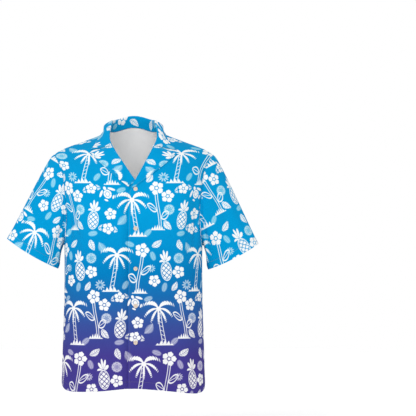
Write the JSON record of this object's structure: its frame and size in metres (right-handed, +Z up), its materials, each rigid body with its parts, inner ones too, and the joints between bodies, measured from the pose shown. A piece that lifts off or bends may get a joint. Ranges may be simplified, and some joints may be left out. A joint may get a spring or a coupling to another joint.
{
  "type": "hawaiian shirt",
  "caption": "Short-sleeved button-front shirt with a camp collar, filled out and hollow, open at the neck, hem and cuffs, in a printed cloth that fades from cyan to violet.",
  "frame": {"origin": "middle of the neck at the height where the shoulder seams reach it, where the wearer's shoulders hold the shirt", "axes": "+Z up, -Y the shirt's front, +X the wearer's left"},
  "size_m": [0.704, 0.2567, 0.7742],
  "materials": {
    "printed_cloth": "matte woven cloth, printed, shaded from cyan at the shoulders to violet at the hem",
    "sleeve_cloth": "matte woven cloth, printed on cyan",
    "collar_cloth": "matte woven cloth, printed on cyan, two layers",
    "button": "satin, four holes"
  },
  "bodies": {
    "root": {"front_left": "printed_cloth", "front_right": "printed_cloth", "back": "printed_cloth", "sleeve_left": "sleeve_cloth", "sleeve_right": "sleeve_cloth", "collar": "collar_cloth", "lapel_left": "collar_cloth", "lapel_right": "collar_cloth", "button_1": "button", "button_2": "button", "button_3": "button", "button_4": "button", "button_5": "button"}
  },
  "joints": []
}
